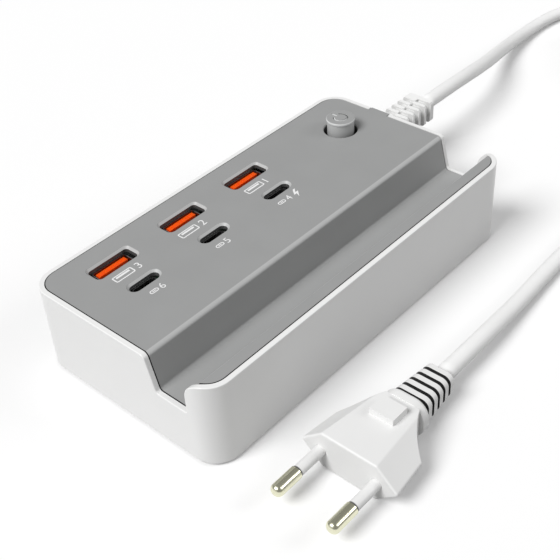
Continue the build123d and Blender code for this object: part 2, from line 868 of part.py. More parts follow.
# Plug: a six-sided body that narrows in two hollow curves to a collar and a ribbed relief
plug_back_x = plug_face_x + plug_body_length
relief_start_x = plug_back_x + collar_length
relief_end_x = relief_start_x + relief_length
pin_spots = [(-pin_spacing / 2, 0), (pin_spacing / 2, 0)]
plug_plane = Plane((plug_face_x, plug_axis_y, plug_axis_z), x_dir=(0, 1, 0), z_dir=(1, 0, 0))


def six_sided(tip_width, top_width, height):
    """Section of the plug body, with its tips at mid height."""
    Polygon(
        (tip_width / 2, 0),
        (top_width / 2, height / 2),
        (-top_width / 2, height / 2),
        (-tip_width / 2, 0),
        (-top_width / 2, -height / 2),
        (top_width / 2, -height / 2),
        align=None,
    )


with BuildPart() as plug_body:
    with BuildSketch(plug_plane):
        six_sided(plug_width, plug_top_width, plug_height)
    with BuildSketch(plug_plane.offset(plug_body_length)):
        six_sided(plug_back_tip_width, plug_back_top_width, plug_back_height)
    loft(ruled=True)
    long_edges = plug_body.edges().filter_by(lambda edge: edge.length > plug_body_length / 2)
    fillet(long_edges.filter_by(lambda edge: abs(edge.tangent_at(0.5).X) > 0.9), plug_edge_radius)
    fillet(plug_body.edges().group_by(Axis.X)[0], plug_face_radius)
    # Seen from above, each wing runs back and then sweeps in to the neck
    with BuildSketch(Plane((plug_face_x, plug_axis_y, 0))):
        with BuildLine():
            Line((0, 0), (0, plug_width / 2))
            Line((0, plug_width / 2), (plug_wing_length, plug_width / 2 - plug_wing_taper))
            SagittaArc(
                (plug_wing_length, plug_width / 2 - plug_wing_taper),
                (plug_body_length, plug_neck_width / 2),
                -plug_neck_hollow,
            )
            Line((plug_body_length, plug_neck_width / 2), (plug_body_length, 0))
            Line((plug_body_length, 0), (0, 0))
        make_face()
        mirror(about=Plane.XZ)
    extrude(amount=plug_height, mode=Mode.INTERSECT)
    # Raised finger grip on the upper face
    with BuildSketch(Plane.XY.offset(plug_axis_z)):
        with Locations((plug_back_x - grip_from_collar, plug_axis_y)):
            Rectangle(grip_length, grip_width, align=(Align.MAX, Align.CENTER))
    extrude(amount=plug_height / 2 + grip_proud)
    # Collar
    with BuildSketch(plug_plane.offset(plug_body_length)):
        RectangleRounded(collar_width, collar_height, collar_radius)
    extrude(amount=collar_length)
    fillet(
        plug_body.edges().filter_by_position(Axis.X, relief_start_x, relief_start_x), collar_edge_radius
    )
    # Tapered relief, cut by gaps down to its core
    with BuildSketch(plug_plane.offset(plug_body_length + collar_length)):
        RectangleRounded(relief_start_width, relief_start_height, relief_radius)
    with BuildSketch(plug_plane.offset(plug_body_length + collar_length + relief_length)):
        RectangleRounded(relief_end_width, relief_end_height, relief_radius)
    loft()
    relief_pitch = relief_length / relief_gap_count
    for number in range(relief_gap_count):
        gap_start = plug_body_length + collar_length + number * relief_pitch
        with BuildSketch(plug_plane.offset(gap_start)):
            Rectangle(2 * collar_width, 2 * collar_height)
            RectangleRounded(
                relief_core_width, relief_core_height, relief_core_radius, mode=Mode.SUBTRACT
            )
        extrude(amount=relief_gap, mode=Mode.SUBTRACT)
    # Bores for the pins and their sleeves
    with BuildSketch(plug_plane):
        with Locations(pin_spots):
            Circle(pin_core_diameter / 2 + pin_fit)
    extrude(amount=pin_root_depth, mode=Mode.SUBTRACT)
    with BuildSketch(plug_plane):
        with Locations(pin_spots):
            Circle(sleeve_diameter / 2 + pin_fit)
    extrude(amount=sleeve_root_depth, mode=Mode.SUBTRACT)
save(plug_body, "plug_body")

sleeve_length = pin_length - pin_bare_length
with BuildPart() as plug_pins:
    with BuildSketch(plug_plane.offset(-pin_length)):
        with Locations(pin_spots):
            Circle(pin_diameter / 2)
    extrude(amount=pin_bare_length)
    fillet(plug_pins.edges().group_by(Axis.X)[0], pin_tip_radius)
    with BuildSketch(plug_plane.offset(-sleeve_length)):
        with Locations(pin_spots):
            Circle(pin_core_diameter / 2)
    extrude(amount=sleeve_length + pin_root_depth)
save(plug_pins, "plug_pins")

with BuildPart() as pin_sleeves:
    with BuildSketch(plug_plane.offset(-sleeve_length)):
        with Locations(pin_spots):
            Circle(sleeve_diameter / 2)
            Circle(pin_core_diameter / 2 + pin_fit, mode=Mode.SUBTRACT)
    extrude(amount=sleeve_length + sleeve_root_depth)
save(pin_sleeves, "pin_sleeves")

# Cord: a lead from the boot, a tied coil on the floor, and a tail to the plug
cord_z = cord_diameter / 2
coil_low_z = tie_thickness + tie_clearance
coil_mid_radius = (coil_outer_radius + coil_inner_radius) / 2
coil_width = coil_outer_radius - coil_inner_radius + cord_diameter
coil_height = coil_layers * cord_diameter
coil_axis_z = coil_low_z + coil_height / 2
coil_first_z = coil_low_z + cord_z
coil_last_z = coil_low_z + coil_height - cord_z

lead_route = [
    (boot_end_x, boot_y, boot_axis_height),
    (boot_end_x + 23.0, boot_y, boot_axis_height),
    (146.0, 18.6, 15.0),
    (175.0, 28.0, 6.6),
    (201.0, 32.2, cord_z),
    (223.0, 31.5, cord_z),
    (243.0, 24.0, cord_z),
    (256.0, 7.0, cord_z),
    (260.0, -15.0, cord_z + 0.4),
    (coil_centre_x + coil_outer_radius, coil_centre_y + 2.0, coil_first_z),
]
tail_route = [
    (relief_end_x, plug_axis_y, plug_axis_z),
    (relief_end_x + 20.0, plug_axis_y, plug_axis_z),
    (36.0, -64.4, cord_z + 0.8),
    (62.0, -62.6, cord_z),
    (92.0, -62.4, cord_z),
    (124.0, -65.6, cord_z),
    (156.0, -71.5, cord_z + 0.6),
    (186.0, -75.8, coil_last_z - 1.4),
    (coil_centre_x - 5.0, coil_centre_y - coil_outer_radius, coil_last_z),
]


def cord_tube(name, route):
    """A round tube along straight runs joined by arcs as large as the shorter run allows."""
    points = [Vector(*point) for point in route]
    runs = [after - before for before, after in zip(points, points[1:])]
    radii = []
    for before, after in zip(runs, runs[1:]):
        half_turn = radians(before.get_angle(after)) / 2
        radii.append(bend_share * min(before.length, after.length) / tan(half_turn))
    with BuildPart() as tube:
        with BuildLine():
            path = FilletPolyline(*points, radius=radii)
        with BuildSketch(Plane(path @ 0, z_dir=path % 0)):
            Circle(cord_diameter / 2)
        sweep(path=path)
    section = pi * cord_diameter**2 / 4
    print(name, "radii", [round(radius) for radius in radii], "length", round(path.length, 1))
    print(name, "volume over section times length", round(tube.part.volume / section / path.length, 4))
    save(tube, name)
    return path.length


lead_length = cord_tube("cord_lead", lead_route)
tail_length = cord_tube("cord_tail", tail_route)
coil_length = coil_turns * 2 * pi * coil_mid_radius
print("cord length", round(lead_length + coil_length + tail_length))

coil_plane = Plane((coil_centre_x, coil_centre_y, coil_axis_z), x_dir=(0, 1, 0), z_dir=(1, 0, 0))
with BuildPart() as cord_coil:
    with BuildSketch(coil_plane):
        with Locations((coil_mid_radius, 0)):
            RectangleRounded(coil_width, coil_height, coil_corner_radius)
    revolve(axis=Axis((coil_centre_x, coil_centre_y, 0), (0, 0, 1)))
save(cord_coil, "cord_coil")

with BuildPart() as coil_tie:
    with BuildSketch(coil_plane.offset(-tie_width / 2)):
        with Locations((coil_mid_radius, 0)):
            RectangleRounded(
                coil_width + 2 * (tie_clearance + tie_thickness),
                coil_height + 2 * (tie_clearance + tie_thickness),
                coil_corner_radius,
            )
            RectangleRounded(
                coil_width + 2 * tie_clearance,
                coil_height + 2 * tie_clearance,
                coil_corner_radius - tie_thickness,
                mode=Mode.SUBTRACT,
            )
    extrude(amount=tie_width)
save(coil_tie, "coil_tie")
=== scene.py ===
# %% [markdown]
# # A desktop charger with a phone slot
# A white tub with a flush grey cover stands on a pale floor. Its mains lead leaves the far end, is
# put away in a tied coil out of sight, and comes back to a flat two-pin plug that lies in front.
# The solids are loaded first, and everything after that is looks: a camera, the cord as one smooth
# line, light, finishes, and the small printed marks.

import json

import bpy
import numpy as np
from mathutils import Matrix, Vector


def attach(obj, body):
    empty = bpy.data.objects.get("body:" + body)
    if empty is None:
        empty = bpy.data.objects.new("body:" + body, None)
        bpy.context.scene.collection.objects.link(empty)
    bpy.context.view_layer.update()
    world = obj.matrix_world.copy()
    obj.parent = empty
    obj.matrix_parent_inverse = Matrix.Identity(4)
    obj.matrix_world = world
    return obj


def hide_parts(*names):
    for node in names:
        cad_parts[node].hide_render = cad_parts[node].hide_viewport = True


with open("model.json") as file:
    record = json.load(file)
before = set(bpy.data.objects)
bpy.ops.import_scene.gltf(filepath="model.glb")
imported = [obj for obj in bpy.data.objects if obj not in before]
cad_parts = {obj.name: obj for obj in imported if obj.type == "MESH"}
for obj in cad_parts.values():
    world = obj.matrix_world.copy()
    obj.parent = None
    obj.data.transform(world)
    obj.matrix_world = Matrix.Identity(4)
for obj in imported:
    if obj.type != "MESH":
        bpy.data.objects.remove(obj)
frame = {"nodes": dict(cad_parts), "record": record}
nodes = frame["nodes"]
scene = bpy.context.scene
scene.view_settings.view_transform = "Standard"
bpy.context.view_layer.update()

# %% [markdown]
# ## Camera
# The picture was taken from above the near left corner. A camera could be aimed with a track
# constraint, but its roll would then be lost, so its three axes are written out. They were found
# from the long edges of the case, which meet at far-off points.

# %% Camera
camera_axes = np.array([
    [0.66112, -0.74836, -0.05368],
    [0.50112, 0.38718, 0.77393],
    [-0.55839, -0.53856, 0.63099],
])
camera_place = np.array([-0.189529, -0.180471, 0.217714])
focal_pixels, picture_pixels = 1035.4546, 560
camera_data = bpy.data.cameras.new("camera")
camera_data.sensor_width = 36.0
camera_data.lens = focal_pixels / picture_pixels * camera_data.sensor_width
camera_data.clip_start = 0.01
camera = bpy.data.objects.new("camera", camera_data)
scene.collection.objects.link(camera)
pose = np.eye(4)
pose[:3, :3] = camera_axes.T
pose[:3, 3] = camera_place
camera.matrix_world = Matrix(pose.tolist())
scene.camera = camera
print("camera lens", round(camera_data.lens, 2), "mm")

# %% [markdown]
# ## Cord
# The lead is a soft round sheath, so it bends in long easy curves. A chain of straight tubes would
# look like bent wire, so one spline takes the route's points as its control points and rounds every
# corner by itself. The spare length is wound in two flat layers, inwards below and outwards above,
# so no turn crosses another. The route is laid out in millimetres and becomes metres at the end.

# %% Cord route
cord_diameter = 0.0055
cord_z = 2.75
coil_centre = np.array([219.3, -38.0])
coil_outer, coil_inner, coil_turns = 39.2, 24.8, 5.25
coil_low, coil_high, climb_turns = 4.05, 9.55, 0.4
lead_points = np.array([
    (95.0, 14.4, 20.2), (118.0, 14.4, 20.2), (146.0, 18.6, 15.0), (175.0, 28.0, 6.6),
    (201.0, 32.2, cord_z), (223.0, 31.5, cord_z), (243.0, 24.0, cord_z), (256.0, 7.0, cord_z),
    (260.0, -15.0, cord_z + 0.4),
])
tail_points = np.array([
    (186.0, -75.8, coil_high - 1.4), (156.0, -71.5, cord_z + 0.6), (124.0, -65.6, cord_z),
    (92.0, -62.4, cord_z), (62.0, -62.6, cord_z), (36.0, -64.4, cord_z + 0.8),
    (12.2, -66.0, 6.6), (-7.8, -66.0, 6.6),
])


def coil_points(points_per_turn):
    """Points on a flat spiral that shrinks at a steady rate for half its turns, climbs one cord's
    thickness at the middle, and grows again at the same rate. It runs clockwise from above."""
    turn = np.linspace(0, coil_turns, int(coil_turns * points_per_turn) + 1)
    from_middle = np.abs(turn / coil_turns * 2 - 1)
    radius = coil_inner + (coil_outer - coil_inner) * from_middle
    climb = np.clip((turn - coil_turns / 2) / climb_turns + 0.5, 0, 1)
    z = coil_low + (coil_high - coil_low) * climb**2 * (3 - 2 * climb)
    angle = -2 * np.pi * turn
    return np.stack([
        coil_centre[0] + radius * np.cos(angle), coil_centre[1] + radius * np.sin(angle), z
    ], axis=1)


route = np.concatenate([lead_points, coil_points(points_per_turn=16), tail_points]) / 1000
print("cord control points", len(route))

# %% [markdown]
# A spline of low order stays close to its control points and still has no corner. Its points are
# read back as numbers, and the sheath is built along them.

# %% Cord line
line_curve = bpy.data.curves.new("cord_line", "CURVE")
line_curve.dimensions = "3D"
spline = line_curve.splines.new("NURBS")
spline.points.add(len(route) - 1)
spline.points.foreach_set("co", np.c_[route, np.ones(len(route))].ravel())
spline.order_u = 3
spline.use_endpoint_u = True
spline.resolution_u = 8
line_mesh = bpy.data.meshes.new_from_object(bpy.data.objects.new("cord_line", line_curve))
cord_line = np.empty(len(line_mesh.vertices) * 3, np.float32)
line_mesh.vertices.foreach_get("co", cord_line)
cord_line = cord_line.reshape(-1, 3).astype(float)
line_length = np.linalg.norm(np.diff(cord_line, axis=0), axis=1).sum()
print("cord line", len(cord_line), "points,", round(line_length, 4), "m")

# %% [markdown]
# The sheath itself is a circle carried along that line. A curve's bevel would do it too, but a mesh
# of its own has a true box, and its faces can be counted.

# %% Cord sheath
def show(name, mesh):
    """Put a finished mesh into the scene as a piece of the charger."""
    piece = bpy.data.objects.new(name, mesh)
    scene.collection.objects.link(piece)
    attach(piece, "charger")
    return piece


def ring_faces(count, sides):
    """Four-sided faces of a grid of rings, where the last point of a ring joins its first."""
    ring, side = np.meshgrid(np.arange(count - 1), np.arange(sides), indexing="ij")
    after = (side + 1) % sides
    here, ahead = ring * sides, (ring + 1) * sides
    corners = [here + side, ahead + side, ahead + after, here + after]
    return np.stack(corners, axis=-1).reshape(-1, 4)


def round_tube(name, line, radius, sides):
    """A tube: each point of the line plus a circle square to it. The circle's two directions are
    the level one, along crossed with up, and the one square to both."""
    along = np.gradient(line, axis=0)
    along /= np.linalg.norm(along, axis=1, keepdims=True)
    level = np.cross(along, (0.0, 0.0, 1.0))
    level /= np.linalg.norm(level, axis=1, keepdims=True)
    rise = np.cross(level, along)
    angle = np.linspace(0, 2 * np.pi, sides, endpoint=False)
    circle = level[:, None] * np.cos(angle)[:, None] + rise[:, None] * np.sin(angle)[:, None]
    points = (line[:, None] + radius * circle).reshape(-1, 3)
    ends = [list(range(sides)), list(range(len(points) - 1, len(points) - sides - 1, -1))]
    mesh = bpy.data.meshes.new(name)
    mesh.from_pydata(points.tolist(), [], ring_faces(len(line), sides).tolist() + ends)
    mesh.shade_smooth()
    return mesh


cord_mesh = round_tube("mains_cord", cord_line, cord_diameter / 2, sides=20)
cord = show("mains_cord", cord_mesh)
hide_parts("cord_lead", "cord_coil", "cord_tail")
print("cord sheath", len(cord_mesh.polygons), "faces")

# %% [markdown]
# ## Floor
# The floor is a plain sheet. It looks white to the camera and in shiny surfaces, but it gives back
# only a third of the light, as a grey table would, so that the upright walls stay darker than the
# top. A little of the white that is seen is the sheet's own light, so the shadow on it stays pale.

# %% Floor
floor_reach = 6.0
floor_returns, floor_looks, floor_own_light = 0.35, 0.97, 0.15
floor_corners = [(-floor_reach, -floor_reach, 0), (floor_reach, -floor_reach, 0)]
floor_corners += [(floor_reach, floor_reach, 0), (-floor_reach, floor_reach, 0)]
floor_mesh = bpy.data.meshes.new("floor")
floor_mesh.from_pydata(floor_corners, [], [(0, 1, 2, 3)])
floor = bpy.data.objects.new("floor", floor_mesh)
scene.collection.objects.link(floor)


def seen_directly(tree):
    """1 for rays from the camera, from a mirror or through glass, and 0 for scattered light: the
    largest of three flags that are 0 or 1."""
    path = tree.nodes.new("ShaderNodeLightPath")
    flag = path.outputs["Is Camera Ray"]
    for kind in ("Is Glossy Ray", "Is Transmission Ray"):
        either = tree.nodes.new("ShaderNodeMath")
        either.operation = "MAXIMUM"
        tree.links.new(flag, either.inputs[0])
        tree.links.new(path.outputs[kind], either.inputs[1])
        flag = either.outputs[0]
    return flag


def dull(tree, share):
    """A matt surface that gives back one share of the light, in every colour alike."""
    node = tree.nodes.new("ShaderNodeBsdfDiffuse")
    node.inputs["Color"].default_value = (share, share, share, 1)
    return node.outputs[0]


def mixed(tree, factor, first, second):
    """Two shaders blended. The factor, a value or a plain number, is the share of the second."""
    node = tree.nodes.new("ShaderNodeMixShader")
    if isinstance(factor, float):
        node.inputs["Fac"].default_value = factor
    else:
        tree.links.new(factor, node.inputs["Fac"])
    tree.links.new(first, node.inputs[1])
    tree.links.new(second, node.inputs[2])
    return node.outputs[0]


floor_finish = bpy.data.materials.new("floor_sheet")
floor_finish.use_nodes = True
floor_tree = floor_finish.node_tree
floor_tree.nodes.clear()
floor_glow = floor_tree.nodes.new("ShaderNodeEmission").outputs[0]
floor_white = mixed(floor_tree, floor_own_light, dull(floor_tree, floor_looks), floor_glow)
floor_grey = dull(floor_tree, floor_returns)
floor_sheet = mixed(floor_tree, seen_directly(floor_tree), floor_grey, floor_white)
floor_out = floor_tree.nodes.new("ShaderNodeOutputMaterial")
floor_tree.links.new(floor_sheet, floor_out.inputs["Surface"])
floor_mesh.materials.append(floor_finish)
print("floor", 2 * floor_reach, "m square")

# %% [markdown]
# ## Light
# A product picture on white is lit by one large soft lamp, high on the left, and by light that the
# white room throws back. A weaker lamp on the right keeps the far walls from going dull. Panels of
# light would do it too, but they shine more on what is near, so both lamps are suns with a wide
# disc: even light, and shadows with soft edges. The camera sees the room as pure white.

# %% Light
room_light, room_looks = 0.27, 1.0
case_middle = Vector((0, 0, 0.02))
world = bpy.data.worlds.new("white_room")
world.use_nodes = True
scene.world = world
world_tree = world.node_tree
world_tree.nodes.clear()


def white_room(strength):
    """A plain white all round, of one strength."""
    node = world_tree.nodes.new("ShaderNodeBackground")
    node.inputs["Color"].default_value = (1, 1, 1, 1)
    node.inputs["Strength"].default_value = strength
    return node.outputs[0]


def sun(name, strength, spread, place):
    """A lamp far away in the direction of place, with a disc spread degrees wide. It faces the
    middle of the case."""
    data = bpy.data.lights.new(name, "SUN")
    data.energy = strength
    data.angle = np.radians(spread)
    lamp = bpy.data.objects.new(name, data)
    lamp.location = place
    lamp.rotation_euler = (case_middle - Vector(place)).to_track_quat("-Z", "Y").to_euler()
    scene.collection.objects.link(lamp)


camera_ray = world_tree.nodes.new("ShaderNodeLightPath").outputs["Is Camera Ray"]
room = mixed(world_tree, camera_ray, white_room(room_light), white_room(room_looks))
world_out = world_tree.nodes.new("ShaderNodeOutputWorld")
world_tree.links.new(room, world_out.inputs["Surface"])
sun("key_lamp", strength=2.72, spread=30, place=(-0.70, 0.15, 0.85))
sun("fill_lamp", strength=0.60, spread=25, place=(0.46, -0.50, 0.43))

# %% [markdown]
# ## Moulded plastic
# The tub, the cover and the plug are injection moulded. Moulded plastic is never one flat colour:
# the mould's fine spark-worn grain breaks up the gloss, and the tint drifts a little over the
# surface. Both come from noise in the piece's own coordinates, so they stay put from every side.

# %% Moulded finishes
finishes = {}
noise_low, noise_high = 0.3, 0.7


def blank(name, roughness, metallic=0.0):
    """A new finish whose even roughness and metalness are set on the shader itself."""
    made = bpy.data.materials.new(name)
    made.use_nodes = True
    shader = made.node_tree.nodes["Principled BSDF"]
    shader.inputs["Roughness"].default_value = roughness
    shader.inputs["Metallic"].default_value = metallic
    finishes[name] = made
    return made.node_tree, shader


def own_place(tree):
    """A point's place in the piece's own coordinates, in metres."""
    return tree.nodes.new("ShaderNodeTexCoord").outputs["Object"]


def noise(tree, scale, detail=2.0, stretch=(1, 1, 1)):
    """Noise on the piece's own coordinates, with about scale grains in a metre."""
    turn = tree.nodes.new("ShaderNodeMapping")
    turn.inputs["Scale"].default_value = stretch
    tree.links.new(own_place(tree), turn.inputs["Vector"])
    grains = tree.nodes.new("ShaderNodeTexNoise")
    grains.inputs["Scale"].default_value = scale
    grains.inputs["Detail"].default_value = detail
    tree.links.new(turn.outputs[0], grains.inputs["Vector"])
    return grains.outputs["Fac"]


def slow_drift(tree):
    """Noise of about seventy soft patches in a metre, for a tint that wanders."""
    return noise(tree, scale=70, detail=3)


def ramp(tree, factor, stops):
    """Colours at places from 0 to 1, blended between."""
    node = tree.nodes.new("ShaderNodeValToRGB")
    bands = node.color_ramp.elements
    while len(bands) < len(stops):
        bands.new(0.5)
    for band, (spot, colour) in zip(bands, stops):
        band.position = spot
        band.color = (*colour, 1)
    tree.links.new(factor, node.inputs["Fac"])
    return node.outputs["Color"]


def grain(tree, shader, scale, depth):
    """A fine bump, depth metres high."""
    bump = tree.nodes.new("ShaderNodeBump")
    bump.inputs["Strength"].default_value = 1.0
    bump.inputs["Distance"].default_value = depth
    tree.links.new(noise(tree, scale), bump.inputs["Height"])
    tree.links.new(bump.outputs[0], shader.inputs["Normal"])


def moulded(name, colour, roughness, drift=0.015, grain_scale=1800, grain_depth=4e-6):
    """Plastic whose tint drifts by a small share either way, with a fine grain."""
    tree, shader = blank(name, roughness)
    low = tuple(c * (1 - drift) for c in colour)
    high = tuple(c * (1 + drift) for c in colour)
    tint = ramp(tree, slow_drift(tree), [(noise_low, low), (noise_high, high)])
    tree.links.new(tint, shader.inputs["Base Color"])
    grain(tree, shader, grain_scale, grain_depth)
    return tree, shader


moulded("white_shell", (0.87, 0.87, 0.865), roughness=0.32, drift=0.006)
moulded("black_tongue", (0.012, 0.012, 0.012), roughness=0.5)
moulded("black_plastic", (0.03, 0.03, 0.03), roughness=0.5, drift=0.05)
moulded("yellow_box", (0.8, 0.62, 0.12), roughness=0.45, drift=0.03)
moulded("blue_disc", (0.08, 0.2, 0.5), roughness=0.3, drift=0.05)
moulded("winding_tape", (0.8, 0.6, 0.1), roughness=0.35, drift=0.05)
moulded("wire_sheath", (0.25, 0.12, 0.06), roughness=0.45, drift=0.05)
moulded("foot_rubber", (0.12, 0.12, 0.12), 0.8, drift=0.05, grain_scale=900, grain_depth=1e-5)
moulded("tie_strip", (0.82, 0.82, 0.82), roughness=0.5)
moulded("board_laminate", (0.05, 0.22, 0.1), 0.35, drift=0.12, grain_scale=500, grain_depth=1e-5)
moulded("ferrite", (0.06, 0.06, 0.065), 0.7, drift=0.2, grain_scale=700, grain_depth=2e-5)
print("moulded finishes", len(finishes))

# %% [markdown]
# ## Grey cover and button
# Every edge of the deck, the lip and the openings has a painted highlight, a lighter band of
# colour. The edges all lie within two millimetres of the top, and nothing else slopes there, so
# height alone picks them out. The slot's floor is painted a shade paler, as painted light against
# the shade of its walls. The button has a painted highlight on its edge too, and a side painted
# paler than its top. Round the cover runs a seam a third of a millimetre wide. No light comes back
# out of it, so the cover's own upright edge is painted dark, as shade. The walls of the openings
# are painted shade too, and so is the floor of the mark that is sunk in the button.

# %% Grey finishes
def along_axis(tree, axis):
    """One of the piece's own coordinates, in metres."""
    split = tree.nodes.new("ShaderNodeSeparateXYZ")
    tree.links.new(own_place(tree), split.inputs[0])
    return split.outputs[axis]


def span_of(tree, value, low, high, to_low=0.0, to_high=1.0):
    """A value stretched so that low to high becomes to_low to to_high."""
    node = tree.nodes.new("ShaderNodeMapRange")
    sockets = ("From Min", "From Max", "To Min", "To Max")
    for socket, amount in zip(sockets, (low, high, to_low, to_high)):
        node.inputs[socket].default_value = amount
    tree.links.new(value, node.inputs["Value"])
    return node.outputs["Result"]


def sum_of(tree, operation, first, second=None):
    """One step of arithmetic on a value, with another value or a plain number."""
    node = tree.nodes.new("ShaderNodeMath")
    node.operation = operation
    tree.links.new(first, node.inputs[0])
    if isinstance(second, float):
        node.inputs[1].default_value = second
    elif second is not None:
        tree.links.new(second, node.inputs[1])
    return node.outputs[0]


def place_step(tree, operation, place, numbers=None):
    """One step of arithmetic on a place, with three fixed numbers where the step needs them."""
    node = tree.nodes.new("ShaderNodeVectorMath")
    node.operation = operation
    tree.links.new(place, node.inputs[0])
    if numbers:
        node.inputs[1].default_value = numbers
    return node.outputs["Value" if operation == "LENGTH" else "Vector"]


def banded(name, roughness, low, high, stops, grain_depth):
    """Grey plastic, its colour set by height from low to high as painted light, drifting a little."""
    tree, shader = blank(name, roughness)
    shade = ramp(tree, span_of(tree, along_axis(tree, "Z"), low, high), stops)
    drift = span_of(tree, slow_drift(tree), noise_low, noise_high, to_low=0.98, to_high=1.02)
    tint = tree.nodes.new("ShaderNodeVectorMath")
    tint.operation = "SCALE"
    tree.links.new(shade, tint.inputs[0])
    tree.links.new(drift, tint.inputs["Scale"])
    tree.links.new(tint.outputs[0], shader.inputs["Base Color"])
    grain(tree, shader, scale=2600, depth=grain_depth)
    return tree, shader


def darkened(tree, shader, where, dark):
    """Lay one dark colour, as painted shade, over a finish where a value is 1."""
    blend = tree.nodes.new("ShaderNodeMix")
    blend.data_type = "RGBA"
    blend.inputs["B"].default_value = (*dark, 1)
    tree.links.new(where, blend.inputs["Factor"])
    tree.links.new(shader.inputs["Base Color"].links[0].from_socket, blend.inputs["A"])
    tree.links.new(blend.outputs["Result"], shader.inputs["Base Color"])


def on_outline(tree, half_x, half_y, radius, near):
    """1 on the upright edge of a rounded rectangle: there the distance from the inner rectangle,
    whose corners are the centres of the rounding, is the radius."""
    spot = place_step(tree, "ABSOLUTE", own_place(tree))
    spot = place_step(tree, "SUBTRACT", spot, (half_x - radius, half_y - radius, 1.0))
    spot = place_step(tree, "MAXIMUM", spot, (0, 0, 0))
    same = tree.nodes.new("ShaderNodeMath")
    same.operation = "COMPARE"
    same.inputs[1].default_value = radius
    same.inputs[2].default_value = near
    tree.links.new(place_step(tree, "LENGTH", spot), same.inputs[0])
    return same.outputs[0]


def inside_box(tree, low, high):
    """1 for a point between two corners of a box, and 0 outside: the product of six comparisons."""
    where = None
    for axis, least, most in zip("XYZ", low, high):
        along = along_axis(tree, axis)
        above = sum_of(tree, "GREATER_THAN", along, least)
        within = sum_of(tree, "MULTIPLY", above, sum_of(tree, "LESS_THAN", along, most))
        where = within if where is None else sum_of(tree, "MULTIPLY", where, within)
    return where


def from_axis(tree, x, y):
    """Distance from an upright axis at x and y: the length of the offset, its height left out."""
    offset = place_step(tree, "SUBTRACT", own_place(tree), (x, y, 0))
    return place_step(tree, "LENGTH", place_step(tree, "MULTIPLY", offset, (1, 1, 0)))


def grey(share):
    """A neutral grey, a trace cool."""
    return (share * 0.99, share, share * 0.997)


print("helpers for shades by place ready")

# %% [markdown]
# The cover comes first, then the button. Each list of shades runs upwards, and its places are
# shares of the height between low and high.

# %% Cover and button finishes
deck_z, hair_below = 0.030, 0.00002
# Painted light: a paler slot floor against its shade, and a painted highlight band on every edge.
slot_floor_painted_light, matt, painted_edge_highlight = grey(0.39), grey(0.34), grey(0.5)
seam_painted_shade, opening_painted_shade, mark_painted_shade = grey(0.03), grey(0.08), grey(0.12)
cover_tree, cover = banded("grey_cover", 0.45, low=0.0175, high=deck_z, grain_depth=6e-6, stops=[
    (0.06, slot_floor_painted_light), (0.10, matt), (0.886, matt),
    (0.925, painted_edge_highlight), (0.991, painted_edge_highlight), (0.996, matt),
])
# Painted shade: the cover's upright edge in the seam, and the walls of the openings, are made dark.
seam = on_outline(cover_tree, half_x=0.06805, half_y=0.0352, radius=0.00605, near=5e-5)
below_top = sum_of(cover_tree, "LESS_THAN", along_axis(cover_tree, "Z"), deck_z - hair_below)
darkened(cover_tree, cover, sum_of(cover_tree, "MULTIPLY", seam, below_top), seam_painted_shade)
openings = inside_box(cover_tree, low=(-0.062, 0.004, 0.018), high=(0.062, 0.034, 0.02922))
darkened(cover_tree, cover, openings, opening_painted_shade)

button_x, button_y, mark_shade_from = 0.052, 0.01815, 0.0023
# Painted light: the button's side is paler than its top, and its top edge has a painted highlight.
button_tree, button = banded("grey_button", 0.4, low=0.029, high=0.0346, grain_depth=4e-6, stops=[
    (0.2, grey(0.42)), (0.84, grey(0.5)), (0.87, grey(0.62)), (0.97, grey(0.68)), (0.994, grey(0.36)),
])
# Painted shade on the floor of the mark that is sunk in the button, on its outer part.
mark = inside_box(button_tree, low=(0.0486, 0.01475, 0.0341), high=(0.0554, 0.0205, 0.03436))
reach = from_axis(button_tree, button_x, button_y)
outer_half = sum_of(button_tree, "GREATER_THAN", reach, mark_shade_from)
darkened(button_tree, button, sum_of(button_tree, "MULTIPLY", mark, outer_half), mark_painted_shade)
print("grey finishes done, deck at", deck_z)

# %% [markdown]
# ## Orange tongues
# The wide ports have a tongue of bright orange nylon. Light enters its end and leaks out of its
# sides, so a little of it is scattered below the surface.

# %% Orange finish
def scattering(shader, weight, radius, scale):
    """Let a share of the light enter and come out nearby: scale is how far it gets, in metres, and
    radius is the share of that for red, green and blue."""
    shader.inputs["Subsurface Weight"].default_value = weight
    shader.inputs["Subsurface Radius"].default_value = radius
    shader.inputs["Subsurface Scale"].default_value = scale


orange = moulded("orange_tongue", (0.96, 0.09, 0.002), roughness=0.4, drift=0.02)[1]
orange.inputs["Specular IOR Level"].default_value = 0.25
scattering(orange, weight=0.4, radius=(1.0, 0.3, 0.1), scale=0.0015)
print("orange tongue scatters over", orange.inputs["Subsurface Scale"].default_value, "m")

# %% [markdown]
# ## Cord, boot and plug
# These are softer, slightly warmer plastics, and light goes a little way into the cord. The boot is
# cut into a ladder, and painted shade makes its cuts darker. The plug's relief is cut by deep, thin
# gaps, and hardly any light comes back out of them. Many bounces would show that too, but slowly, so
# the walls and the floor of each gap get painted shade, by where they lie along the plug.

# %% Soft finishes
def gapped(name, colour, first_x, pitch, gap):
    """Plastic with painted shade in its gaps: from first_x on, a point is painted dark where the
    fraction part of its distance along X, in pitches, is less than the gap's share of a pitch."""
    tree, shader = moulded(name, colour, roughness=0.45, drift=0.01)
    hair = 3e-5
    along = along_axis(tree, "X")
    steps = sum_of(tree, "MULTIPLY", sum_of(tree, "SUBTRACT", along, first_x - hair), 1 / pitch)
    inside = sum_of(tree, "LESS_THAN", sum_of(tree, "FRACT", steps), (gap + 2 * hair) / pitch)
    past = sum_of(tree, "GREATER_THAN", along, first_x - hair)
    darkened(tree, shader, sum_of(tree, "MULTIPLY", inside, past), (0.03, 0.03, 0.03))


